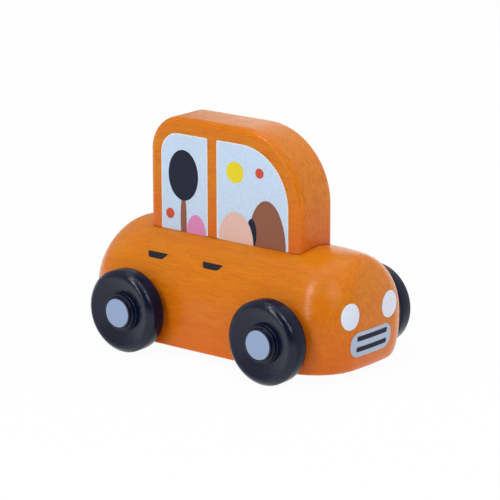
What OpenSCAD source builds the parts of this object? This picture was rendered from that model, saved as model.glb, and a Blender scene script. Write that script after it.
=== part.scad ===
// Wooden push-along toy car: a rounded body block, a slab cabin seated in its crown, and two
// axles that turn in bores across the body with a wheel pressed on each end.
// +X is forward, +Y is the car's left, +Z is up. The origin is on the floor, under the middle.

/* [Body block] */
// Length of the body from nose to tail
body_length = 116; // [100:0.1:140]
// Width of the body across its straight sides
body_width = 50; // [44:0.5:60]
// Height of the body from its underside to its crown
body_height = 39.3; // [34:0.1:46]
// Height of the underside above the floor
ground_clearance = 3.1; // [2:0.1:8]
// Rise of the arched top above the straight sides
arch_rise = 23.1; // [14:0.1:26]
// Height above the underside at which the nose reaches furthest
nose_waist = 15.7; // [8:0.1:20]
// Height above the underside at which the tail reaches furthest
tail_waist = 14; // [8:0.1:20]
// Distance that the nose leans back between its waist and the crown
nose_lean = 9.8; // [6:0.1:16]
// Distance that the tail leans forward between its waist and the crown
tail_lean = 15.4; // [8:0.1:20]
// Distance that the nose and the tail tuck in between the waist and the underside
end_tuck = 4; // [0.5:0.1:6]
// Corner radius of the nose, seen from above
nose_corner = 15.5; // [8:0.1:20]
// Corner radius of the tail, seen from above
tail_corner = 16; // [8:0.1:20]
// Distance that the middle of the nose stands ahead of its sides
nose_bulge = 2.4; // [0:0.1:4]
// Distance that the middle of the tail stands behind its sides
tail_bulge = 1.5; // [0:0.1:4]
// Round along the edge of the underside
underside_round = 0.8; // [0.4:0.1:2.5]

/* [Cabin block] */
// Length of the cabin slab
cabin_length = 68.7; // [55:0.1:75]
// Thickness of the cabin slab
cabin_thickness = 18.2; // [12:0.1:24]
// Height of the roof above the crown of the body
cabin_height = 39.8; // [32:0.1:50]
// Distance from the tail to the back of the cabin
cabin_setback = 21.1; // [17:0.1:26]
// Radius of the roof's rear corner
roof_rear_radius = 13.2; // [6:0.1:16]
// Radius of the roof's front corner
roof_front_radius = 26.6; // [12:0.1:30]
// Round along the cabin's edges
cabin_edge_round = 2.5; // [0.8:0.1:4]
// Depth of the cabin's seat below the crown
seat_depth = 4; // [3:0.1:8]
// Glue gap between the cabin and the sides of its seat
seat_gap = 0.1; // [0.05:0.01:0.3]

/* [Cabin dowels] */
// Diameter of the glue dowels
dowel_diameter = 6; // [4:0.5:8]
// Length of each dowel, half in the body and half in the cabin
dowel_length = 24; // [14:0.5:30]
// Distance between the two dowels
dowel_spacing = 40; // [24:0.5:48]
// Glue gap round each dowel
dowel_gap = 0.05; // [0.02:0.01:0.2]
// Glue space beyond each end of a dowel
dowel_end_space = 0.5; // [0.2:0.1:0.9]

/* [Wheels] */
// Diameter of the wheels
wheel_diameter = 30; // [25:0.5:36]
// Width of a wheel from its inner face to its rim
wheel_width = 8.3; // [7:0.1:14]
// Distance between the front and the rear axle
wheelbase = 63.6; // [54:0.1:72]
// Distance from the nose to the front axle
front_overhang = 24.5; // [20:0.1:32]
// Side play between a wheel and the body
wheel_gap = 1.4; // [0.2:0.1:2.5]
// Width and depth of the softened bevel on the outer shoulder
shoulder_bevel = 2.1; // [1:0.1:3.5]
// Fullness of that bevel, where 1 is a flat bevel and 2 is a true round
shoulder_fullness = 1.3; // [1:0.1:2]
// Round on the inner edge of the tread
inner_round = 2.2; // [0.4:0.1:3]
// Width of the flat crest of the rim
rim_crest = 0.6; // [0.3:0.1:1.5]
// Depth of the dished face below the rim
dish_depth = 1.5; // [0.5:0.1:3]
// Diameter of the collar at the foot of the hub, which is level with the rim
collar_diameter = 13.4; // [12.4:0.1:16]
// Diameter of the hub
hub_diameter = 11.7; // [11:0.1:12]
// Distance that the hub stands out beyond the rim
hub_proud = 1.1; // [0.2:0.1:3]
// Bevel on the edge of the hub
hub_bevel = 0.25; // [0.1:0.05:0.3]

/* [Hub caps] */
// Diameter of the caps
cap_diameter = 10.4; // [7:0.1:10.8]
// Thickness of the caps
cap_thickness = 1.5; // [1:0.1:2.5]
// Bevel on the edge of the caps
cap_bevel = 0.2; // [0.1:0.05:0.4]
// Gap between a cap and the rim of its recess
cap_gap = 0.03; // [0.02:0.01:0.1]

/* [Axles] */
// Diameter of the axle rods
axle_diameter = 4; // [3:0.1:6]
// Running clearance round the axle in the body, on the radius
axle_clearance = 0.08; // [0.02:0.01:0.1]
// Glue gap between the axle and the wheel, on the radius
wheel_press_gap = 0.02; // [0.01:0.01:0.05]
// Bevel on the ends of the axles
axle_bevel = 0.4; // [0.2:0.1:0.8]

/* [Hidden] */
$fn = 64;

stain_orange = "#d5771f";
wheel_black = "#262833";
cap_blue = "#93a8c8";
bare_wood = "#d9b98a";
bright_steel = "#c0c4c8";

// Smoothness of the body: steps along half an end's flat, round a corner, and up each height band
flat_steps = 5;
corner_steps = 12;
edge_steps = 3;
tuck_steps = 6;
crown_steps = 18;
// Smoothness of the edges of a wheel's tread
tread_steps = 6;
// The rounding stops just short of the crown, which leaves a narrow flat on the ridge
last_crown_angle = 88;
// Cuts run past the faces that they open by this much
cut_through = 1;

half_width = body_width / 2;
underside_z = ground_clearance;
nose_waist_z = underside_z + nose_waist;
tail_waist_z = underside_z + tail_waist;
crown_z = underside_z + body_height;
shoulder_z = crown_z - arch_rise;
nose_x = body_length / 2;
tail_x = -body_length / 2;

seat_z = crown_z - seat_depth;
roof_z = crown_z + cabin_height;
cabin_rear_x = tail_x + cabin_setback;
cabin_front_x = cabin_rear_x + cabin_length;
cabin_middle_x = (cabin_rear_x + cabin_front_x) / 2;
front_dowel_x = cabin_middle_x + dowel_spacing / 2;
rear_dowel_x = cabin_middle_x - dowel_spacing / 2;

axle_z = wheel_diameter / 2;
front_axle_x = nose_x - front_overhang;
rear_axle_x = front_axle_x - wheelbase;
wheel_inner_y = half_width + wheel_gap;
hub_end = wheel_width + hub_proud;
cap_seat = hub_end - cap_thickness;
axle_length = 2 * (wheel_inner_y + cap_seat);

LEFT = 1;
RIGHT = -1;

// Share of a quarter round's depth that is taken off at the share u of its height
function quarter_round(u) = 1 - sqrt(1 - pow(max(0, min(1, u)), 2));
function reversed(list) = [for (i = [len(list) - 1 : -1 : 0]) list[i]];
function without_first(list) = [for (i = [1 : len(list) - 1]) list[i]];

// How far the edge round of the underside draws the outline in at height z
function edge_inset(z) =
    underside_round * quarter_round((underside_z + underside_round - z) / underside_round);

// How far an end lies inside its furthest reach at height z
function end_inset(z, waist_z, lean) =
    lean * quarter_round((z - waist_z) / (crown_z - waist_z))
    + end_tuck * quarter_round((waist_z - z) / (waist_z - underside_z))
    + edge_inset(z);

// Share of the full width at height z: straight sides below the shoulder and an arch above it
function width_share(z) =
    1 - quarter_round((z - shoulder_z) / arch_rise) - edge_inset(z) / half_width;

// Half of one end seen from above, from the centre line to the side, as [set-back, half width]
function end_outline(corner, bulge) = [
    for (i = [0 : flat_steps + corner_steps])
        let (
            a = 90 * max(0, i - flat_steps) / corner_steps,
            flat = (half_width - corner) * min(1, i / flat_steps),
            y = flat + corner * sin(a)
        )
        [corner * (1 - cos(a)) + bulge * pow(y / half_width, 2), y]
];

// The body's outline at height z, once round from the middle of the nose
function body_ring(z) =
    let (
        share = width_share(z),
        front = nose_x - end_inset(z, nose_waist_z, nose_lean),
        rear = tail_x + end_inset(z, tail_waist_z, tail_lean),
        nose = end_outline(nose_corner, nose_bulge),
        tail = end_outline(tail_corner, tail_bulge),
        left_side = concat(
            [for (p = nose) [front - p.x, share * p.y, z]],
            [for (p = reversed(tail)) [rear + p.x, share * p.y, z]]
        ),
        right_side = [for (p = left_side) [p.x, -p.y, p.z]]
    )
    concat(left_side, without_first(reversed(without_first(right_side))));

// Heights of the rings: close together where the surface curves most
function body_heights() =
    let (
        low = underside_z + underside_round,
        middle = max(nose_waist_z, tail_waist_z)
    )
    concat(
        [for (i = [0 : edge_steps - 1]) underside_z + underside_round * (1 - cos(90 * i / edge_steps))],
        [for (i = [0 : tuck_steps - 1]) low + (middle - low) * i / tuck_steps],
        [for (i = [0 : crown_steps]) middle + (crown_z - middle) * sin(last_crown_angle * i / crown_steps)]
    );

// A closed skin over a stack of rings that all have as many points
module loft(rings) {
    count = len(rings[0]);
    top = len(rings) - 1;
    polyhedron(
        points = [for (ring = rings) each ring],
        faces = [
            [for (i = [0 : count - 1]) i],
            for (k = [0 : top - 1], i = [0 : count - 1])
                let (j = (i + 1) % count)
                each [
                    [k * count + i, (k + 1) * count + j, k * count + j],
                    [k * count + i, (k + 1) * count + i, (k + 1) * count + j]
                ],
            [for (i = [count - 1 : -1 : 0]) top * count + i]
        ],
        convexity = 4
    );
}

module rounded_rectangle(length, width, radius) {
    square([length - 2 * radius, width], center = true);
    square([length, width - 2 * radius], center = true);
    for (x = [-1, 1], y = [-1, 1])
        translate([x * (length / 2 - radius), y * (width / 2 - radius)])
            circle(radius);
}

module across(x, z) {
    translate([x, 0, z])
        rotate([90, 0, 0])
            children();
}

module dowel_hole(x, z, depth) {
    translate([x, 0, z])
        cylinder(h = depth, d = dowel_diameter + 2 * dowel_gap);
}

// Body: a loaf with an arched top, drawn-in ends, a seat for the cabin and bores for the axles
module body_block() {
    hole_depth = dowel_length / 2 + dowel_end_space;
    color(stain_orange)
        difference() {
            loft([for (z = body_heights()) body_ring(z)]);
            translate([cabin_middle_x, 0, seat_z])
                linear_extrude(seat_depth + cut_through)
                    rounded_rectangle(
                        cabin_length + 2 * seat_gap,
                        cabin_thickness + 2 * seat_gap,
                        cabin_edge_round + seat_gap
                    );
            for (x = [front_axle_x, rear_axle_x])
                across(x, axle_z)
                    cylinder(
                        h = body_width + 2 * cut_through,
                        d = axle_diameter + 2 * axle_clearance,
                        center = true
                    );
            for (x = [front_dowel_x, rear_dowel_x])
                dowel_hole(x, seat_z - hole_depth, hole_depth + cut_through);
        }
}

// Cross-section of the slab's rim: from the inside out along X, across the thickness along Y
module rim_section(reach) {
    side = cabin_thickness / 2;
    translate([0, -side])
        square([reach - cabin_edge_round, cabin_thickness]);
    translate([0, -(side - cabin_edge_round)])
        square([reach, cabin_thickness - 2 * cabin_edge_round]);
    for (s = [-1, 1])
        translate([reach - cabin_edge_round, s * (side - cabin_edge_round)])
            circle(cabin_edge_round);
}

// A quarter turn of the rim about a roof corner's centre, from the angle start upwards
module roof_corner(x, radius, start) {
    across(x, roof_z - radius)
        rotate([0, 0, start])
            rotate_extrude(angle = 90)
                rim_section(radius);
}

// Cabin: an upright slab whose rounded rim runs up the front, over the roof and down the back
module cabin_block() {
    hole_depth = dowel_length / 2 + dowel_end_space;
    rear_centre_x = cabin_rear_x + roof_rear_radius;
    front_centre_x = cabin_front_x - roof_front_radius;
    roof_run = front_centre_x - rear_centre_x;
    roof_reach = min(roof_rear_radius, roof_front_radius);
    color(stain_orange)
        difference() {
            union() {
                roof_corner(front_centre_x, roof_front_radius, 0);
                roof_corner(rear_centre_x, roof_rear_radius, 90);
                translate([front_centre_x, 0, seat_z])
                    linear_extrude(roof_z - roof_front_radius - seat_z)
                        rim_section(roof_front_radius);
                translate([rear_centre_x, 0, seat_z])
                    mirror([1, 0, 0])
                        linear_extrude(roof_z - roof_rear_radius - seat_z)
                            rim_section(roof_rear_radius);
                translate([front_centre_x, 0, roof_z - roof_reach])
                    rotate([0, -90, 0])
                        linear_extrude(roof_run)
                            rim_section(roof_reach);
                translate([rear_centre_x, -cabin_thickness / 2, seat_z])
                    cube([roof_run, cabin_thickness, roof_z - roof_reach - seat_z]);
            }
            for (x = [front_dowel_x, rear_dowel_x])
                dowel_hole(x, seat_z - cut_through, hole_depth + cut_through);
        }
}

module dowel(x) {
    color(bare_wood)
        translate([x, 0, seat_z])
            cylinder(h = dowel_length, d = dowel_diameter, center = true);
}

// Axle: a rod with bevelled ends that reaches through both wheels to the backs of the hub caps
module axle(x) {
    radius = axle_diameter / 2;
    half = axle_length / 2;
    color(bright_steel)
        across(x, axle_z)
            rotate_extrude()
                polygon([
                    [0, -half], [radius - axle_bevel, -half], [radius, -half + axle_bevel],
                    [radius, half - axle_bevel], [radius - axle_bevel, half], [0, half]
                ]);
}

// Puts a wheel or a cap, made with its outer side up, on one end of an axle
module on_axle(x, side) {
    translate([x, side * wheel_inner_y, axle_z])
        rotate([-90 * side, 0, 0])
            children();
}

// Curve that takes off a tread's edge, from the tread to the face, as [depth, distance from the face]
function soft_edge(size, fullness) = [
    for (i = [0 : tread_steps])
        let (a = 90 * i / tread_steps)
        size * [1 - pow(cos(a), 2 / fullness), 1 - pow(sin(a), 2 / fullness)]
];

// Half-section of a wheel as [radius, height above the inner face]
function wheel_section() =
    let (
        tread = wheel_diameter / 2,
        bore = axle_diameter / 2 + wheel_press_gap,
        recess = cap_diameter / 2 + cap_gap,
        hub = hub_diameter / 2,
        collar = collar_diameter / 2
    )
    concat(
        [[bore, 0]],
        [for (p = reversed(soft_edge(inner_round, 2))) [tread - p.x, p.y]],
        [for (p = soft_edge(shoulder_bevel, shoulder_fullness)) [tread - p.x, wheel_width - p.y]],
        [
            [tread - shoulder_bevel - rim_crest, wheel_width],
            [collar, wheel_width - dish_depth], [collar, wheel_width],
            [hub, wheel_width], [hub, hub_end - hub_bevel], [hub - hub_bevel, hub_end],
            [recess, hub_end], [recess, cap_seat], [bore, cap_seat]
        ]
    );

// Wheel: bevelled shoulder, dished face, and a collared hub with a recess for its cap
module wheel(x, side) {
    color(wheel_black)
        on_axle(x, side)
            rotate_extrude()
                polygon(wheel_section());
}

// Cap: a thin disc with a bevelled edge that fills the recess in the hub
module hub_cap(x, side) {
    radius = cap_diameter / 2;
    color(cap_blue)
        on_axle(x, side)
            rotate_extrude()
                polygon([
                    [0, cap_seat], [radius, cap_seat], [radius, hub_end - cap_bevel],
                    [radius - cap_bevel, hub_end], [0, hub_end]
                ]);
}

body_block();
cabin_block();
dowel(front_dowel_x);  // front_dowel
dowel(rear_dowel_x);  // rear_dowel
axle(front_axle_x);  // front_axle
axle(rear_axle_x);  // rear_axle
wheel(front_axle_x, LEFT);  // front_left_wheel
wheel(front_axle_x, RIGHT);  // front_right_wheel
wheel(rear_axle_x, LEFT);  // rear_left_wheel
wheel(rear_axle_x, RIGHT);  // rear_right_wheel
hub_cap(front_axle_x, LEFT);  // front_left_hub_cap
hub_cap(front_axle_x, RIGHT);  // front_right_hub_cap
hub_cap(rear_axle_x, LEFT);  // rear_left_hub_cap
hub_cap(rear_axle_x, RIGHT);  // rear_right_hub_cap
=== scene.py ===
import math

import bpy
import numpy as np
from mathutils import Matrix, Vector


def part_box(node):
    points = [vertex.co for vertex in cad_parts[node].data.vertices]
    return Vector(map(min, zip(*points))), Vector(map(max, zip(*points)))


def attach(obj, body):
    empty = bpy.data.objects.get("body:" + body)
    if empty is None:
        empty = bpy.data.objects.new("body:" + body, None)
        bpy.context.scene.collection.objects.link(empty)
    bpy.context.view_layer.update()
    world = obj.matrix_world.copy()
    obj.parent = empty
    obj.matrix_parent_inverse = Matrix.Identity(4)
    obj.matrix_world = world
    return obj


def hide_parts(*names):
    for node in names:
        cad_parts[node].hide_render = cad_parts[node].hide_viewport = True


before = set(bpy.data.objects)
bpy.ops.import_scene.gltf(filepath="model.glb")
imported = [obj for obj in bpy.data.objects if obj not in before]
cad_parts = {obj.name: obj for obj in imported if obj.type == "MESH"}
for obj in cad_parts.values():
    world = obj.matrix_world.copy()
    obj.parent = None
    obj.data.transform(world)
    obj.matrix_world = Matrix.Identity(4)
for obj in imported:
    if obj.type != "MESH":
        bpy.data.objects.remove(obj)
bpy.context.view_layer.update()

# Body block
# The lower loaf of the car: one piece of beech, milled to an arched top with drawn-in ends, stained
# orange and varnished. The cabin is glued into a seat in its crown and the axles run through its bores.
MM = 0.001
body_low, body_high = (np.array(corner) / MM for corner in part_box("body_block"))
tail_x, nose_x = body_low[0], body_high[0]
half_width = body_high[1]
underside_z, crown_z = body_low[2], body_high[2]
nose_waist_z, tail_waist_z = underside_z + 15.7, underside_z + 14
arch_rise = 23.1
shoulder_z = crown_z - arch_rise
nose_lean, tail_lean = 9.8, 15.4
nose_corner, tail_corner = 15.5, 16
nose_bulge, tail_bulge = 2.4, 1.5
end_tuck = 4
underside_round = 0.8


def quarter_round(u):
    """Share of a quarter round's depth that is taken off at the share u of its height."""
    return 1 - np.sqrt(1 - np.clip(u, 0, 1) ** 2)


def edge_inset(z):
    """How far the round along the underside draws the outline in at height z."""
    return underside_round * quarter_round((underside_z + underside_round - z) / underside_round)


def end_inset(z, waist_z, lean):
    """How far an end lies inside its furthest reach at height z: two quarter ovals and the edge round."""
    above = lean * quarter_round((z - waist_z) / (crown_z - waist_z))
    below = end_tuck * quarter_round((waist_z - z) / (waist_z - underside_z))
    return above + below + edge_inset(z)


def width_share(z):
    """Share of the full width at height z: straight sides with half an oval arch above them."""
    return 1 - quarter_round((z - shoulder_z) / arch_rise) - edge_inset(z) / half_width


def set_back(y, corner, bulge):
    """How far an end falls back at the distance y from the middle: a parabola and a round corner."""
    past_flat = np.clip(np.abs(y) - (half_width - corner), 0, corner)
    return corner - np.sqrt(corner**2 - past_flat**2) + bulge * (y / half_width) ** 2


def end_widths(corner, flat_steps=12, corner_steps=28):
    """Distances from the middle along half an end: even on the flat, then by angle round the corner."""
    flat = np.linspace(0, half_width - corner, flat_steps, endpoint=False)
    turn = np.linspace(0, np.pi / 2, corner_steps)
    return np.concatenate([flat, half_width - corner + corner * np.sin(turn)])


def body_rings():
    """The loaf as level outlines: at each height the same outline, narrowed, with its ends drawn in."""
    low = underside_z + underside_round
    edge = underside_z + underside_round * (1 - np.cos(np.linspace(0, np.pi / 2, 6, endpoint=False)))
    tuck = np.linspace(low, nose_waist_z, 16, endpoint=False)
    # The last ring stops just short of the crown, where the width would be nought
    crown = nose_waist_z + (crown_z - nose_waist_z) * np.sin(np.radians(np.linspace(0, 89.7, 72)))
    z = np.concatenate([edge, tuck, crown])[:, None]
    nose_y, tail_y = end_widths(nose_corner), end_widths(tail_corner)[::-1]
    nose = nose_x - end_inset(z, nose_waist_z, nose_lean) - set_back(nose_y, nose_corner, nose_bulge)
    tail = tail_x + end_inset(z, tail_waist_z, tail_lean) + set_back(tail_y, tail_corner, tail_bulge)
    x = np.concatenate([nose, tail], axis=1)
    y = width_share(z) * np.concatenate([nose_y, tail_y])
    left = np.stack([x, y, np.broadcast_to(z, x.shape)], axis=-1)
    right = left[:, -2:0:-1] * [1, -1, 1]
    return np.concatenate([left, right], axis=1)


def skin(rings, endless=False):
    """Points and faces of a surface over a stack of rings, closed by flat ends or joined end to end."""
    rows, count = rings.shape[:2]
    row = np.arange(rows if endless else rows - 1)[:, None]
    step = np.arange(count)
    here, above = row * count, (row + 1) % rows * count
    after = (step + 1) % count
    corners = [here + step, here + after, above + after, above + step]
    faces = np.stack(corners, axis=-1).reshape(-1, 4).tolist()
    if not endless:
        faces += [step[::-1].tolist(), (step + (rows - 1) * count).tolist()]
    return rings.reshape(-1, 3), faces


def link(name, skins, material):
    """A new object made of one or more skins, in millimetres, with one material."""
    points, faces = [], []
    for skin_points, skin_faces in skins:
        start = sum(len(block) for block in points)
        faces += [[start + corner for corner in face] for face in skin_faces]
        points.append(skin_points)
    mesh = bpy.data.meshes.new(name)
    mesh.from_pydata(np.concatenate(points) * MM, [], faces)
    mesh.materials.append(material)
    piece = bpy.data.objects.new(name, mesh)
    bpy.context.scene.collection.objects.link(piece)
    return piece


def smooth(piece, sharp_degrees):
    """Shades the piece smoothly, except over edges that turn by more than the angle."""
    count = len(piece.data.polygons)
    piece.data.polygons.foreach_set("use_smooth", np.ones(count, dtype=bool))
    piece.data.set_sharp_from_angle(angle=math.radians(sharp_degrees))


def cut(piece, cutters):
    """Cuts the closed cutters out of the piece and removes them."""
    for cutter in cutters:
        modifier = piece.modifiers.new("cut", "BOOLEAN")
        modifier.operation = "DIFFERENCE"
        modifier.solver = "EXACT"
        modifier.object = cutter
    shaped = piece.evaluated_get(bpy.context.evaluated_depsgraph_get())
    piece.data = bpy.data.meshes.new_from_object(shaped)
    piece.modifiers.clear()
    for cutter in cutters:
        bpy.data.objects.remove(cutter)


def linear(hex_colour):
    """A colour such as "#d5771f" as the linear red, green, blue and alpha that shaders take."""
    shares = np.array([int(hex_colour[i : i + 2], 16) for i in (1, 3, 5)]) / 255
    low, high = shares / 12.92, ((shares + 0.055) / 1.055) ** 2.4
    return (*np.where(shares <= 0.04045, low, high), 1.0)


def add(tree, kind, values=None, links=None, **settings):
    """Adds a shader node with its settings, the values of its sockets and the links into them."""
    made = tree.nodes.new(kind)
    for setting, value in settings.items():
        setattr(made, setting, value)
    for socket, value in (values or {}).items():
        made.inputs[socket].default_value = value
    for socket, source in (links or {}).items():
        tree.links.new(source, made.inputs[socket])
    return made


def blank_material(name):
    """An empty material and its node tree."""
    material = bpy.data.materials.new(name)
    material.use_nodes = True
    material.node_tree.nodes.clear()
    return material, material.node_tree


def surface(tree, shader):
    """Makes the shader node's output the surface of the material."""
    add(tree, "ShaderNodeOutputMaterial", links={"Surface": shader.outputs[0]})


def blotches(tree, coordinates, lengths, detail=2.0):
    """Noise whose blotches have the given lengths in millimetres along X, Y and Z."""
    scale = [1 / (length * MM) for length in lengths]
    stretched = add(tree, "ShaderNodeMapping", {"Scale": scale}, {"Vector": coordinates})
    noise = add(
        tree, "ShaderNodeTexNoise", {"Scale": 1, "Detail": detail}, {"Vector": stretched.outputs[0]}
    )
    return noise.outputs["Fac"]


def ramp(tree, source, stops):
    """Colours by the source's value: stops are pairs of a position and a colour."""
    node = add(tree, "ShaderNodeValToRGB", links={"Fac": source})
    stripes = node.color_ramp.elements
    while len(stripes) < len(stops):
        stripes.new(0.5)
    for stripe, (position, hex_colour) in zip(stripes, stops):
        stripe.position = position
        stripe.color = linear(hex_colour)
    return node.outputs["Color"]


def mixed(tree, blend, values, links):
    """A colour mixed from A and B by a factor."""
    node = add(tree, "ShaderNodeMix", values, links, data_type="RGBA", blend_type=blend)
    return node.outputs["Result"]


def stained_beech(name, foot, fade):
    """Beech with the grain along X: orange stain under satin varnish, with painted shade redder towards the
    foot.
    """
    material, tree = blank_material(name)
    coordinates = add(tree, "ShaderNodeTexCoord").outputs
    place = coordinates["Object"]
    fibres = blotches(tree, place, (7, 0.3, 0.3), detail=3)
    bands = blotches(tree, place, (60, 4, 4))
    flecks = blotches(tree, place, (2.4, 0.28, 0.28), detail=1)
    stain = ramp(tree, fibres, [(0.3, "#cd7309"), (0.5, "#d97f11"), (0.72, "#df8719")])
    shade = ramp(tree, bands, [(0.35, "#faf4f0"), (0.65, "#ffffff")])
    banded = mixed(tree, "MULTIPLY", {"Factor": 1}, {"A": stain, "B": shade})
    fleck_mask = ramp(tree, flecks, [(0.64, "#000000"), (0.76, "#ffffff")])
    flecked = mixed(tree, "MIX", {"B": linear("#c3680f")}, {"Factor": fleck_mask, "A": banded})
    facing = add(tree, "ShaderNodeSeparateXYZ", links={0: coordinates["Normal"]}).outputs["X"]
    end_on = add(tree, "ShaderNodeMath", links={0: facing}, operation="ABSOLUTE").outputs[0]
    pores = ramp(tree, blotches(tree, place, (9, 0.6, 1.8)), [(0.35, "#acacac"), (0.65, "#cccccc")])
    end_grain = mixed(tree, "OVERLAY", {}, {"Factor": end_on, "A": flecked, "B": pores})
    # Painted shade: the colour turns redder over the fade above the foot, as shade low down is redder
    height = add(tree, "ShaderNodeSeparateXYZ", links={0: place}).outputs["Z"]
    limits = {"From Min": (foot + fade) * MM, "From Max": foot * MM, "To Max": 0.7}
    painted_low_shade = add(tree, "ShaderNodeMapRange", limits, {"Value": height}).outputs[0]
    colour = mixed(tree, "MIX", {"B": linear("#dc660e")}, {"Factor": painted_low_shade, "A": end_grain})
    ridges = blotches(tree, place, (4, 0.7, 0.7), detail=1)
    grain = add(
        tree, "ShaderNodeBump", {"Strength": 0.7, "Distance": 0.25 * MM}, {"Height": ridges}
    )
    varnish = {
        "Roughness": 0.15,
        "IOR": 1.5,
        "Specular IOR Level": 0.23,
        "Subsurface Weight": 0.6,
        "Subsurface Radius": (1, 0.2, 0.05),
        "Subsurface Scale": 3.5 * MM,
    }
    links = {"Base Color": colour, "Normal": grain.outputs[0]}
    surface(tree, add(tree, "ShaderNodeBsdfPrincipled", varnish, links))
    return material


cabin_low, cabin_high = (np.array(corner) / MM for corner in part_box("cabin_block"))
cabin_rear_x, cabin_front_x = cabin_low[0], cabin_high[0]
cabin_middle_x = (cabin_rear_x + cabin_front_x) / 2
cabin_side = cabin_high[1]
seat_z, roof_z = cabin_low[2], cabin_high[2]
cabin_edge_round = 2.5
seat_gap = 0.1
cut_through = 1
dowel_hole_radius = 3.05
dowel_reach = 12.5
axle_bore_radius = 2.08
axle_z = 15
dowel_x = [np.mean(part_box(node), axis=0)[0] / MM for node in ("front_dowel", "rear_dowel")]
axle_x = [np.mean(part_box(node), axis=0)[0] / MM for node in ("front_axle", "rear_axle")]

# How far above the underside the body's painted shade reaches
body_painted_shade_fade = 28
varnished_beech = stained_beech("orange stained beech, satin varnish, body", underside_z, body_painted_shade_fade)


def rod(x, radius, low, high, along):
    """A round cutter at x, from low to high along "z" at the middle, or along "y" at the axle height."""
    turn = np.linspace(0, 2 * np.pi, 48, endpoint=False)
    level = np.array([low, high])[:, None] + 0 * turn
    across = x + radius * np.cos(turn) + 0 * level
    rings = {
        "z": [across, radius * np.sin(turn) + 0 * level, level],
        "y": [across, level, axle_z - radius * np.sin(turn) + 0 * level],
    }
    return link("rod", [skin(np.stack(rings[along], axis=-1))], varnished_beech)


def plan(length, width, radius):
    """A rounded rectangle seen from above, as x and y once round, centred on the cabin."""
    turn = np.linspace(0, np.pi / 2, 12) + np.arange(4)[:, None] * np.pi / 2
    corner_x = np.array([1, -1, -1, 1])[:, None] * (length / 2 - radius)
    corner_y = np.array([1, 1, -1, -1])[:, None] * (width / 2 - radius)
    x = (cabin_middle_x + corner_x + radius * np.cos(turn)).ravel()
    return x, (corner_y + radius * np.sin(turn)).ravel()


def slab(low, high, length, width, radius):
    """A cutter that stands on a rounded rectangle, centred on the cabin."""
    x, y = plan(length, width, radius)
    level = np.array([low, high])[:, None] + 0 * x
    return link("slab", [skin(np.stack([x + 0 * level, y + 0 * level, level], axis=-1))], varnished_beech)


body = link("body_loaf", [skin(body_rings())], varnished_beech)
seat = slab(
    seat_z,
    crown_z + cut_through,
    cabin_front_x - cabin_rear_x + 2 * seat_gap,
    2 * (cabin_side + seat_gap),
    cabin_edge_round + seat_gap,
)
bore_reach = half_width + cut_through
bores = [rod(x, axle_bore_radius, -bore_reach, bore_reach, "y") for x in axle_x]
sockets = [rod(x, dowel_hole_radius, seat_z - dowel_reach, seat_z + cut_through, "z") for x in dowel_x]
cut(body, [seat, *bores, *sockets])
smooth(body, sharp_degrees=40)
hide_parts("body_block")
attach(body, "chassis")

# Cabin dowels
# Two short beech pegs, glued half into the body and half into the cabin. They are bare wood and don't
# show on the finished toy.


def bare_beech(name):
    """Pale beech without a finish, with fine fibres along Z."""
    material, tree = blank_material(name)
    place = add(tree, "ShaderNodeTexCoord").outputs["Object"]
    fibres = blotches(tree, place, (0.3, 0.3, 6), detail=3)
    wood = ramp(tree, fibres, [(0.3, "#c79f6c"), (0.7, "#e2c596")])
    finish = {"Roughness": 0.7, "IOR": 1.5}
    surface(tree, add(tree, "ShaderNodeBsdfPrincipled", finish, {"Base Color": wood}))
    return material


peg_beech = bare_beech("bare turned beech")
for node in ("front_dowel", "rear_dowel"):
    for material_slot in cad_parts[node].material_slots:
        material_slot.material = peg_beech

# Cabin block
# An upright slab of the same stained beech, sawn to a rounded roof line and eased along its edges. It is
# glued into the seat in the body's crown.
roof_front_radius = 26.6
roof_rear_radius = 13.2
# How far above the crown the cabin's painted shade reaches
cabin_painted_shade_fade = 18


def cabin_rings():
    """The slab as upright outlines across its thickness: the roof line, drawn in by the edge round."""
    turn = np.linspace(0, np.pi / 2, 40)
    angle = np.concatenate([[0], turn, turn + np.pi / 2, [np.pi]])
    outward = np.stack([np.cos(angle), np.sin(angle)], axis=-1)
    radius = np.repeat([roof_front_radius, roof_rear_radius], len(angle) // 2)
    front_centre, rear_centre = cabin_front_x - roof_front_radius, cabin_rear_x + roof_rear_radius
    centre_x = np.repeat([front_centre, rear_centre], len(angle) // 2)
    centre_z = roof_z - radius
    centre_z[[0, -1]] = seat_z
    ease = np.linspace(np.pi / 2, 0, 12)
    inset = cabin_edge_round * (1 - np.cos(ease))
    y = cabin_side - cabin_edge_round * (1 - np.sin(ease))
    inset = np.concatenate([inset, inset[::-1]])[:, None]
    y = np.concatenate([y, -y[::-1]])[:, None]
    x = centre_x + outward[:, 0] * (radius - inset)
    z = centre_z + outward[:, 1] * (radius - inset)
    return np.stack([x, y + 0 * x, z], axis=-1)


cabin_beech = stained_beech("orange stained beech, satin varnish, cabin", crown_z, cabin_painted_shade_fade)
cabin = link("cabin_slab", [skin(cabin_rings())], cabin_beech)
cut(cabin, [rod(x, dowel_hole_radius, seat_z - cut_through, seat_z + dowel_reach, "z") for x in dowel_x])
smooth(cabin, sharp_degrees=40)
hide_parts("cabin_block")
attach(cabin, "chassis")

# Glue seam
# The bead of glue and red stain that squeezed out where the cabin stands in the body's crown. It was wiped
# off before it dried, so that only a hair's breadth is left.
seam_radius = 0.15


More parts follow.
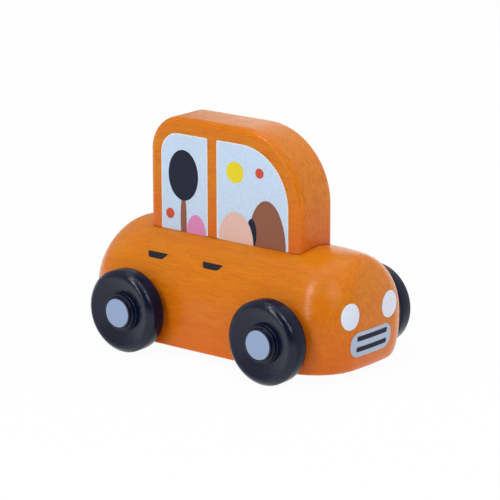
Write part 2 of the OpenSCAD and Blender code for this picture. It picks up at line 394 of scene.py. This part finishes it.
def seam_rings(count=480):
    """A round bead along the cabin's foot: the slab's plan in even steps, laid on the arch of the crown."""
    corner = np.stack(plan(cabin_front_x - cabin_rear_x, 2 * cabin_side, cabin_edge_round), axis=-1)
    closed = np.concatenate([corner, corner[:1]])
    run = np.concatenate([[0], np.cumsum(np.linalg.norm(np.diff(closed, axis=0), axis=1))])
    along = np.linspace(0, run[-1], count, endpoint=False)
    x, y = np.interp(along, run, closed[:, 0]), np.interp(along, run, closed[:, 1])
    z = shoulder_z + arch_rise * np.sqrt(1 - (y / half_width) ** 2)
    ahead_x, ahead_y = np.roll(x, -1) - np.roll(x, 1), np.roll(y, -1) - np.roll(y, 1)
    step = np.hypot(ahead_x, ahead_y)
    turn = np.linspace(0, 2 * np.pi, 10, endpoint=False)
    out, down = seam_radius * np.cos(turn), seam_radius * np.sin(turn)
    bead_x = x[:, None] + (ahead_y / step)[:, None] * out
    bead_y = y[:, None] - (ahead_x / step)[:, None] * out
    return np.stack([bead_x, bead_y, z[:, None] - down], axis=-1)


def glue(name, hex_colour):
    """Dried glue with stain in it, a little uneven in colour along the bead."""
    material, tree = blank_material(name)
    place = add(tree, "ShaderNodeTexCoord").outputs["Object"]
    soaked = blotches(tree, place, (3, 3, 3), detail=3)
    tint = ramp(tree, soaked, [(0.35, "#c8b0a0"), (0.65, "#ffffff")])
    colour = mixed(tree, "MULTIPLY", {"Factor": 1, "A": linear(hex_colour)}, {"B": tint})
    finish = {"Roughness": 0.4, "IOR": 1.5, "Specular IOR Level": 0.05}
    surface(tree, add(tree, "ShaderNodeBsdfPrincipled", finish, {"Base Color": colour}))
    return material


seam = link("glue_seam", [skin(seam_rings(), endless=True)], glue("dried glue with stain", "#d8380a"))
smooth(seam, sharp_degrees=60)
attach(seam, "chassis")

# Axles
# Drawn steel rods that turn in the bores of the body. A wheel is pressed on each end, so that only a
# sliver of the rod shows in the gap beside the body.


def drawn_steel(name):
    """Bright steel with fine lines along the rod from the drawing die."""
    material, tree = blank_material(name)
    place = add(tree, "ShaderNodeTexCoord").outputs["Object"]
    lines = blotches(tree, place, (0.08, 12, 0.08))
    sheen = ramp(tree, lines, [(0.35, "#a8acb0"), (0.65, "#c9ccd0")])
    finish = {"Metallic": 1, "Roughness": 0.32}
    surface(tree, add(tree, "ShaderNodeBsdfPrincipled", finish, {"Base Color": sheen}))
    return material


axle_steel = drawn_steel("drawn steel")
for node in ("front_axle", "rear_axle"):
    for material_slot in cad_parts[node].material_slots:
        material_slot.material = axle_steel

# Wheels
# Blue-black plastic wheels, each moulded in one piece with a bevelled shoulder, a dished face and a collared
# hub. They are pressed on the axles and turn with them.
wheel_low, wheel_high = (np.array(corner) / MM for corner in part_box("front_left_wheel"))
wheel_inner_y = wheel_low[1]
hub_end = wheel_high[1] - wheel_inner_y
tread = (wheel_high[2] - wheel_low[2]) / 2
wheel_width = 8.3
wheel_bore = 2.02
inner_round, shoulder_bevel, shoulder_fullness = 2.2, 2.1, 1.3
rim_crest, dish_depth = 0.6, 1.5
collar_radius, hub_radius = 6.7, 5.85
cap_recess = 5.23
cap_seat = hub_end - 1.5
SIDES = {"left": 1, "right": -1}
ENDS = dict(zip(("front", "rear"), axle_x))


def soften(corners, reaches, fullness=2, steps=8):
    """A closed outline whose corners are replaced by superellipses; fullness 1 is a bevel, 2 a round."""
    before, after = np.roll(corners, 1, axis=0) - corners, np.roll(corners, -1, axis=0) - corners
    reach = np.asarray(reaches, dtype=float)[:, None]
    before *= reach / np.linalg.norm(before, axis=1, keepdims=True)
    after *= reach / np.linalg.norm(after, axis=1, keepdims=True)
    power = 2 / np.broadcast_to(fullness, len(corners))[:, None]
    turn = np.linspace(0, np.pi / 2, steps)[:, None, None]
    left_before = 1 - np.sin(turn) ** power
    left_after = 1 - np.abs(np.cos(turn)) ** power
    curve = corners + left_before * before + left_after * after
    return curve.swapaxes(0, 1).reshape(-1, 2)


def wheel_section():
    """Half-section of a wheel as radius and height above its inner face, once round from the bore."""
    # Each corner: its radius, its height, the reach of its rounding and the fullness of that
    section = np.array(
        [
            (wheel_bore, 0, 0.2, 2),
            (tread, 0, inner_round, 2),
            (tread, wheel_width, shoulder_bevel, shoulder_fullness),
            (tread - shoulder_bevel - rim_crest, wheel_width, 0.3, 2),
            (collar_radius, wheel_width - dish_depth, 0.4, 2),
            (collar_radius, wheel_width, 0.2, 2),
            (hub_radius, wheel_width, 0.2, 2),
            (hub_radius, hub_end, 0.25, 2),
            (cap_recess, hub_end, 0.08, 2),
            (cap_recess, cap_seat, 0.05, 2),
            (wheel_bore, cap_seat, 0.05, 2),
        ]
    )
    return soften(section[:, :2], section[:, 2], section[:, 3], steps=10)


def turned(section, x, side, count=144):
    """A section of radius and height, turned about an axle at x; its height runs outward on that side."""
    turn = np.linspace(0, 2 * np.pi, count, endpoint=False)
    radius, height = section[:, :1], section[:, 1:]
    across = x + radius * np.cos(turn)
    along = side * (wheel_inner_y + height) + 0 * turn
    up = axle_z - side * radius * np.sin(turn)
    return np.stack([across, along, up], axis=-1)


def moulded(name, hex_colour, roughness, spread):
    """Satin plastic with the pebbled skin of its mould and uneven sheen, duller on the tread."""
    material, tree = blank_material(name)
    coordinates = add(tree, "ShaderNodeTexCoord").outputs
    place = coordinates["Object"]
    pebbles = blotches(tree, place, (0.6, 0.6, 0.6), detail=1)
    handling = blotches(tree, place, (5, 5, 5), detail=4)
    sheen = add(
        tree,
        "ShaderNodeMapRange",
        {"To Min": roughness - spread, "To Max": roughness + spread},
        {"Value": handling},
    )
    relief = add(tree, "ShaderNodeBump", {"Strength": 0.8, "Distance": 0.1 * MM}, {"Height": pebbles})
    facing = add(tree, "ShaderNodeSeparateXYZ", links={0: coordinates["Normal"]}).outputs["Y"]
    outward = add(tree, "ShaderNodeMath", links={0: facing}, operation="ABSOLUTE").outputs[0]
    limits = {"From Min": 0.2, "From Max": 0.6, "To Min": 0.14, "To Max": 0.36}
    polish = add(tree, "ShaderNodeMapRange", limits, {"Value": outward})
    finish = {"Base Color": linear(hex_colour), "IOR": 1.5}
    links = {
        "Roughness": sheen.outputs[0],
        "Specular IOR Level": polish.outputs[0],
        "Normal": relief.outputs[0],
    }
    surface(tree, add(tree, "ShaderNodeBsdfPrincipled", finish, links))
    return material


wheel_plastic = moulded("blue-black moulded plastic", "#0b112a", roughness=0.15, spread=0.04)
for end, x in ENDS.items():
    for side_name, side in SIDES.items():
        place_name = f"{end}_{side_name}"
        wheel = link(
            f"{place_name}_moulding", [skin(turned(wheel_section(), x, side), endless=True)], wheel_plastic
        )
        smooth(wheel, sharp_degrees=50)
        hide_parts(f"{place_name}_wheel")
        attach(wheel, f"{end}_wheelset")

# Hub caps
# Thin discs moulded in grey-blue plastic. They snap into the recesses of the hubs and hide the ends of the
# axles.
cap_radius = 5.2
cap_ease = 0.2


def cap_section(steps=6):
    """Rim of a cap as radius and height: a straight edge with a quarter round at the outer end."""
    turn = np.linspace(0, np.pi / 2, steps)
    radius = np.concatenate([[cap_radius], cap_radius - cap_ease * (1 - np.cos(turn))])
    height = np.concatenate([[cap_seat], hub_end - cap_ease * (1 - np.sin(turn))])
    return np.stack([radius, height], axis=-1)


cap_plastic = moulded("grey-blue moulded plastic", "#91a6c7", roughness=0.45, spread=0.04)
for end, x in ENDS.items():
    for side_name, side in SIDES.items():
        place_name = f"{end}_{side_name}"
        cap = link(f"{place_name}_disc", [skin(turned(cap_section(), x, side))], cap_plastic)
        smooth(cap, sharp_degrees=50)
        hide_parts(f"{place_name}_hub_cap")
        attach(cap, f"{end}_wheelset")

# Window prints
# Two light blue panes on each side of the cabin, pad-printed one colour after another over the varnish:
# a white edge, the blue pane, and a plain landscape of hills, a tree and a sun.
ink_film = 0.03
ink_sink = 0.02


def ink(name, hex_colour):
    """Matt printing ink with a fine stipple, as the weave of the wood's skin shows through it."""
    material, tree = blank_material(name)
    place = add(tree, "ShaderNodeTexCoord").outputs["Object"]
    stipple = blotches(tree, place, (0.3, 0.3, 0.3), detail=2)
    tint = ramp(tree, stipple, [(0.3, "#e4e6ea"), (0.7, "#ffffff")])
    colour = mixed(tree, "MULTIPLY", {"Factor": 1, "A": linear(hex_colour)}, {"B": tint})
    relief = add(tree, "ShaderNodeBump", {"Strength": 0.2, "Distance": 0.02 * MM}, {"Height": stipple})
    finish = {"Roughness": 0.55, "IOR": 1.5, "Specular IOR Level": 0.15}
    links = {"Base Color": colour, "Normal": relief.outputs[0]}
    surface(tree, add(tree, "ShaderNodeBsdfPrincipled", finish, links))
    return material


def printed(outline, surface_point, layer, steps=10):
    """A film of ink: the outline in shares from its middle, laid on a surface, below and then above."""
    middle = outline.mean(axis=0)
    shares = np.linspace(0.04, 1, steps)[:, None, None]
    flat = middle + shares * (outline - middle)
    low = surface_point(flat, layer * ink_film - ink_sink)
    high = surface_point(flat[::-1], (layer + 1) * ink_film)
    return skin(np.concatenate([low, high]))


def on_cabin(side):
    """Lays points of x and z on one side of the cabin, lifted off it by a distance."""

    def lay(flat, lift):
        facing = flat[:, ::-side]
        level = np.full(facing.shape[:2], side * (cabin_side + lift))
        return np.stack([facing[..., 0], level, facing[..., 1]], axis=-1)

    return lay


def pane(rear, front, top, rear_radius, front_radius):
    """A window as x and z, anticlockwise from its lower front corner, with its upper corners rounded."""
    turn = np.linspace(0, np.pi / 2, 24)
    front_arc = [front - front_radius * (1 - np.cos(turn)), top - front_radius * (1 - np.sin(turn))]
    rear_arc = [rear + rear_radius * (1 - np.sin(turn)), top - rear_radius * (1 - np.cos(turn))]
    corners = [[rear, window_foot], [front, window_foot]]
    return np.concatenate([corners, np.transpose(front_arc), np.transpose(rear_arc)])


def oval(x, z, half_length, half_height):
    """An oval as x and z, cut off level where it would reach below the windows."""
    turn = np.linspace(0, 2 * np.pi, 64, endpoint=False)
    height = np.maximum(z + half_height * np.sin(turn), window_foot)
    return np.stack([x + half_length * np.cos(turn), height], axis=-1)


window_foot = 40.8
window_top = 76.05
window_edge = 0.4
# Each pane: its rear, front and top limits and the radii of its upper rear and front corners
REAR_PANE = (-31, -10.55, window_top, 7.4, 0.3)
FRONT_PANE = (-5.6, 25.6, window_top, 0.3, 20.5)
# Growing a pane by the edge's width moves each limit outward and widens its round corners
grown = np.array([-1, 1, 1, 1, 1]) * window_edge
# Each ink: its colour, the layer in which it is printed and its shapes
LANDSCAPE = {
    "white": ("#f4f1ee", 0, [pane(*(np.array(shape) + grown)) for shape in (REAR_PANE, FRONT_PANE)]),
    "sky": ("#cfe3f9", 1, [pane(*REAR_PANE), pane(*FRONT_PANE)]),
    "brown": ("#96604b", 2, [oval(-21.2, 45, 1.4, 10), oval(16.6, window_foot, 8.4, 17)]),
    "navy": ("#23263a", 3, [oval(-21.2, 61.5, 6.8, 9.2), oval(9.8, 45, 2.2, 5.4)]),
    "pink": ("#e58fc0", 4, [oval(-15.4, window_foot, 4.4, 7)]),
    "peach": ("#ecc4b6", 4, [oval(2.8, window_foot, 7.8, 11)]),
    "yellow": ("#f2dc2e", 4, [oval(2.4, 66, 3.8, 3.8)]),
    "coral": ("#d9543a", 4, [oval(-27.4, 46.8, 1.9, 1.9), oval(13.4, 67.2, 1.8, 1.8)]),
}
for ink_name, (hex_colour, layer, shapes) in LANDSCAPE.items():
    ink_colour = ink(f"{ink_name} printing ink", hex_colour)
    for side_name, side in SIDES.items():
        films = [printed(shape, on_cabin(side), layer) for shape in shapes]
        film = link(f"{side_name}_window_{ink_name}", films, ink_colour)
        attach(film, "chassis")

# Door handle prints
# Two near-black door handles on each side of the body, in matt ink. They are pad-printed on the arch below
# the windows.
handle_x = (-25.1, 0.05)
handle_low, handle_high = 32.8, 34.65
handle_top_length, handle_foot_length = 9.25, 6.4


def on_body_side(side):
    """Lays points of x and z on one side of the body's arch, lifted off it along its slope."""

    def lay(flat, lift):
        x, z = np.moveaxis(flat[:, ::-side], -1, 0)
        step = 0.01
        slope = half_width * (width_share(z + step) - width_share(z - step)) / (2 * step)
        length = np.sqrt(1 + slope**2)
        y = half_width * width_share(z) + lift / length
        return np.stack([x, side * y, z - lift * slope / length], axis=-1)

    return lay


def handle(x):
    """A handle as x and z: a bar that is longer along its top than along its foot."""
    top, foot = handle_top_length / 2, handle_foot_length / 2
    corners = np.array(
        [
            (x - foot, handle_low),
            (x + foot, handle_low),
            (x + top, handle_high),
            (x - top, handle_high),
        ]
    )
    return soften(corners, [0.8, 0.8, 0.3, 0.3])


black_ink = ink("near-black printing ink", "#26242a")
for side_name, side in SIDES.items():
    films = [printed(handle(x), on_body_side(side), 0) for x in handle_x]
    handles = link(f"{side_name}_door_handles", films, black_ink)
    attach(handles, "chassis")

# Headlight and grille prints
# Two pale headlights and a grey-blue grille bar with two dark slots, printed on the nose. The print sits
# a little to the car's right, and the pad squeezed the light there as it met the round corner.
print_y = -2.65
light_half_height = 4.55
light_slant = 0.15
# Each headlight: the y and z of its middle, and half its length
LIGHTS = ((-13.25, 23.95, 3.45), (7.65, 24.25, 4.8))
grille_z = 13.5
grille_half_length, grille_half_height, grille_corner = 10.8, 4.5, 3.7
slot_middle_z, slot_rise = 13.74, 1.95
slot_half_length, slot_half_height, slot_corner = 8.25, 0.9, 0.45


def on_nose(flat, lift):
    """Lays points of y and z on the nose, lifted off it along its normal."""
    y, z = np.moveaxis(flat, -1, 0)

    def reach(y, z):
        inset = end_inset(z, nose_waist_z, nose_lean)
        return nose_x - inset - set_back(y / width_share(z), nose_corner, nose_bulge)

    step = 0.01
    slope_y = (reach(y + step, z) - reach(y - step, z)) / (2 * step)
    slope_z = (reach(y, z + step) - reach(y, z - step)) / (2 * step)
    normal = np.stack([np.ones_like(y), -slope_y, -slope_z], axis=-1)
    normal /= np.linalg.norm(normal, axis=-1, keepdims=True)
    return np.stack([reach(y, z), y, z], axis=-1) + lift * normal


def bar(z, half_length, half_height, corner):
    """A level bar as y and z with round corners, centred on the print."""
    turn = np.linspace(0, np.pi / 2, 12)
    run = np.linspace(1, -1, 24)[1:-1] * (half_length - corner)
    corner_y = half_length - corner + corner * np.cos(turn)
    corner_z = half_height - corner + corner * np.sin(turn)
    y = np.concatenate([corner_y, run, -corner_y[::-1]])
    rise = np.concatenate([corner_z, np.full(len(run), half_height), corner_z[::-1]])
    half = np.stack([y, rise], axis=-1)
    return np.concatenate([half, -half]) + [print_y, z]


def light(y, z, half_length):
    """A headlight as y and z: an oval whose upright axis leans by the slant."""
    turn = np.linspace(0, 2 * np.pi, 64, endpoint=False)
    rise = light_half_height * np.sin(turn)
    return np.stack([y + half_length * np.cos(turn) + light_slant * rise, z + rise], axis=-1)


slot_shape = (slot_half_length, slot_half_height, slot_corner)
slots = [bar(slot_middle_z + rise, *slot_shape) for rise in (-slot_rise, slot_rise)]
# Each print: its ink, the colour and layer of that, and its shapes
NOSE_PRINTS = {
    "headlights": ("pale grey printing ink", "#ebf1ff", 0, [light(*shape) for shape in LIGHTS]),
    "grille_bar": (
        "grey-blue printing ink",
        "#bac8df",
        0,
        [bar(grille_z, grille_half_length, grille_half_height, grille_corner)],
    ),
    "grille_slots": ("dark navy printing ink", "#222136", 1, slots),
}
for print_name, (ink_name, hex_colour, layer, shapes) in NOSE_PRINTS.items():
    film = link(print_name, [printed(shape, on_nose, layer) for shape in shapes], ink(ink_name, hex_colour))
    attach(film, "chassis")

# Floor, light and camera
# A white paper sweep with the faintest shadow, under a tall soft box over the car's right side, one off its
# nose and a broad one above its tail. A dim grey curtain stands round the camera's side, so that the gloss
# mirrors it there. A long lens looks from between the right side and the nose.
floor_half = 3.0


def seen(tree):
    """One where the camera sees the surface directly, in a gloss or through glass, and nought elsewhere."""
    paths = add(tree, "ShaderNodeLightPath").outputs
    reflected = add(
        tree,
        "ShaderNodeMath",
        links={0: paths["Is Glossy Ray"], 1: paths["Is Transmission Ray"]},
        operation="MAXIMUM",
    )
    links = {0: paths["Is Camera Ray"], 1: reflected.outputs[0]}
    return add(tree, "ShaderNodeMath", links=links, operation="MAXIMUM").outputs[0]


corners = np.array([(-1, -1, 0), (1, -1, 0), (1, 1, 0), (-1, 1, 0)]) * floor_half / MM
floor_white, tree = blank_material("white paper sweep")
paper = add(tree, "ShaderNodeBsdfDiffuse", {"Color": linear("#f4f4f4")})
glow = add(tree, "ShaderNodeEmission", {"Strength": 1})
# Where it is seen, the paper is nearly all glow, and the rest of it keeps the shadow
share = add(tree, "ShaderNodeMapRange", {"To Min": 0.4, "To Max": 0.96}, {"Value": seen(tree)}).outputs[0]
surface(tree, add(tree, "ShaderNodeMixShader", links={0: share, 1: paper.outputs[0], 2: glow.outputs[0]}))
floor = link("floor", [(corners, [[0, 1, 2, 3]])], floor_white)

car_middle = Vector((0.0017, 0, 0.03))
box_distance = 0.9


def direction(azimuth, elevation):
    """Unit vector by elevation and by azimuth from the car's right side towards its nose, in degrees."""
    around, up = math.radians(azimuth), math.radians(elevation)
    return Vector((math.sin(around) * math.cos(up), -math.cos(around) * math.cos(up), math.sin(up)))


def soft_box(name, towards, lean, width, height, watts):
    """A soft box at arm's length in one direction, which faces the car and leans over by some degrees."""
    light_panel = bpy.data.lights.new(name, "AREA")
    light_panel.shape = "RECTANGLE"
    light_panel.size, light_panel.size_y = width, height
    light_panel.energy = watts
    lamp = bpy.data.objects.new(name, light_panel)
    lamp.location = car_middle + box_distance * towards
    leaning = Matrix.Rotation(math.radians(lean), 3, "Z")
    lamp.rotation_euler = (towards.to_track_quat("Z", "Y").to_matrix() @ leaning).to_euler()
    bpy.context.scene.collection.objects.link(lamp)


soft_box("side_soft_box", direction(-6, 38), lean=22, width=0.04, height=1.1, watts=3.4)
soft_box("nose_soft_box", direction(49, 46), lean=24, width=0.06, height=0.8, watts=1.7)
soft_box("top_soft_box", direction(-105, 75), lean=0, width=0.5, height=0.5, watts=0.4)

curtain_from, curtain_to = -140, 105
curtain_radius, curtain_thickness, curtain_height = 1400, 5, 3100


def curtain_rings(steps=48):
    """An upright sheet on an arc about the car: once along its inside and outside, at its foot and top."""
    around = np.radians(np.linspace(curtain_from, curtain_to, steps))
    around = np.concatenate([around, around[::-1]])
    radius = curtain_radius + np.repeat([0, curtain_thickness], steps)
    level = np.array([0, curtain_height])[:, None] + 0 * around
    x, y = radius * np.sin(around) + 0 * level, -radius * np.cos(around) + 0 * level
    return np.stack([x, y, level], axis=-1)


def dim_cloth(name, dark_azimuth):
    """Grey cloth that glows faintly, dark on the side of the camera and fading to white towards its top."""
    material, tree = blank_material(name)
    place = add(tree, "ShaderNodeTexCoord").outputs["Object"]
    dark_side = {1: direction(dark_azimuth, 0)}
    across = add(tree, "ShaderNodeVectorMath", dark_side, {0: place}, operation="DOT_PRODUCT")
    limits = {"From Min": 0.64 * curtain_radius * MM, "From Max": 0.97 * curtain_radius * MM}
    greys = {"To Min": 0.5, "To Max": 0.1}
    side = add(tree, "ShaderNodeMapRange", {**limits, **greys}, {"Value": across.outputs["Value"]})
    height = add(tree, "ShaderNodeSeparateXYZ", links={0: place}).outputs["Z"]
    limits = {"From Min": 0.5 * curtain_height * MM, "From Max": curtain_height * MM}
    top = add(tree, "ShaderNodeMapRange", limits, {"Value": height})
    strength = add(
        tree, "ShaderNodeMath", links={0: side.outputs[0], 1: top.outputs[0]}, operation="MAXIMUM"
    )
    surface(tree, add(tree, "ShaderNodeEmission", links={"Strength": strength.outputs[0]}))
    return material


grey_cloth = dim_cloth("grey cloth in a dim room", dark_azimuth=28)
curtain = link("curtain", [skin(curtain_rings())], grey_cloth)
curtain.visible_camera = False

world = bpy.data.worlds.new("white sweep")
bpy.context.scene.world = world
world.use_nodes = True
world.node_tree.nodes["Background"].inputs["Color"].default_value = linear("#ffffff")

towards = direction(38.764, 15.224)
camera_roll = math.radians(-0.154)
camera_distance = 1.0155
# The photograph shows the car's middle this much below the centre of the picture, in metres at the car
aim_rise = 0.00572
lens = bpy.data.cameras.new("camera")
lens.sensor_width = 36
lens.lens = 205.75
camera = bpy.data.objects.new("camera", lens)
upright = towards.to_track_quat("Z", "Y").to_matrix()
aim = car_middle + aim_rise * upright.col[1]
eye = car_middle + camera_distance * towards
turn = (eye - aim).to_track_quat("Z", "Y").to_matrix() @ Matrix.Rotation(camera_roll, 3, "Z")
camera.location = eye
camera.rotation_euler = turn.to_euler()
bpy.context.scene.collection.objects.link(camera)
bpy.context.scene.camera = camera
bpy.context.scene.view_settings.view_transform = "Standard"
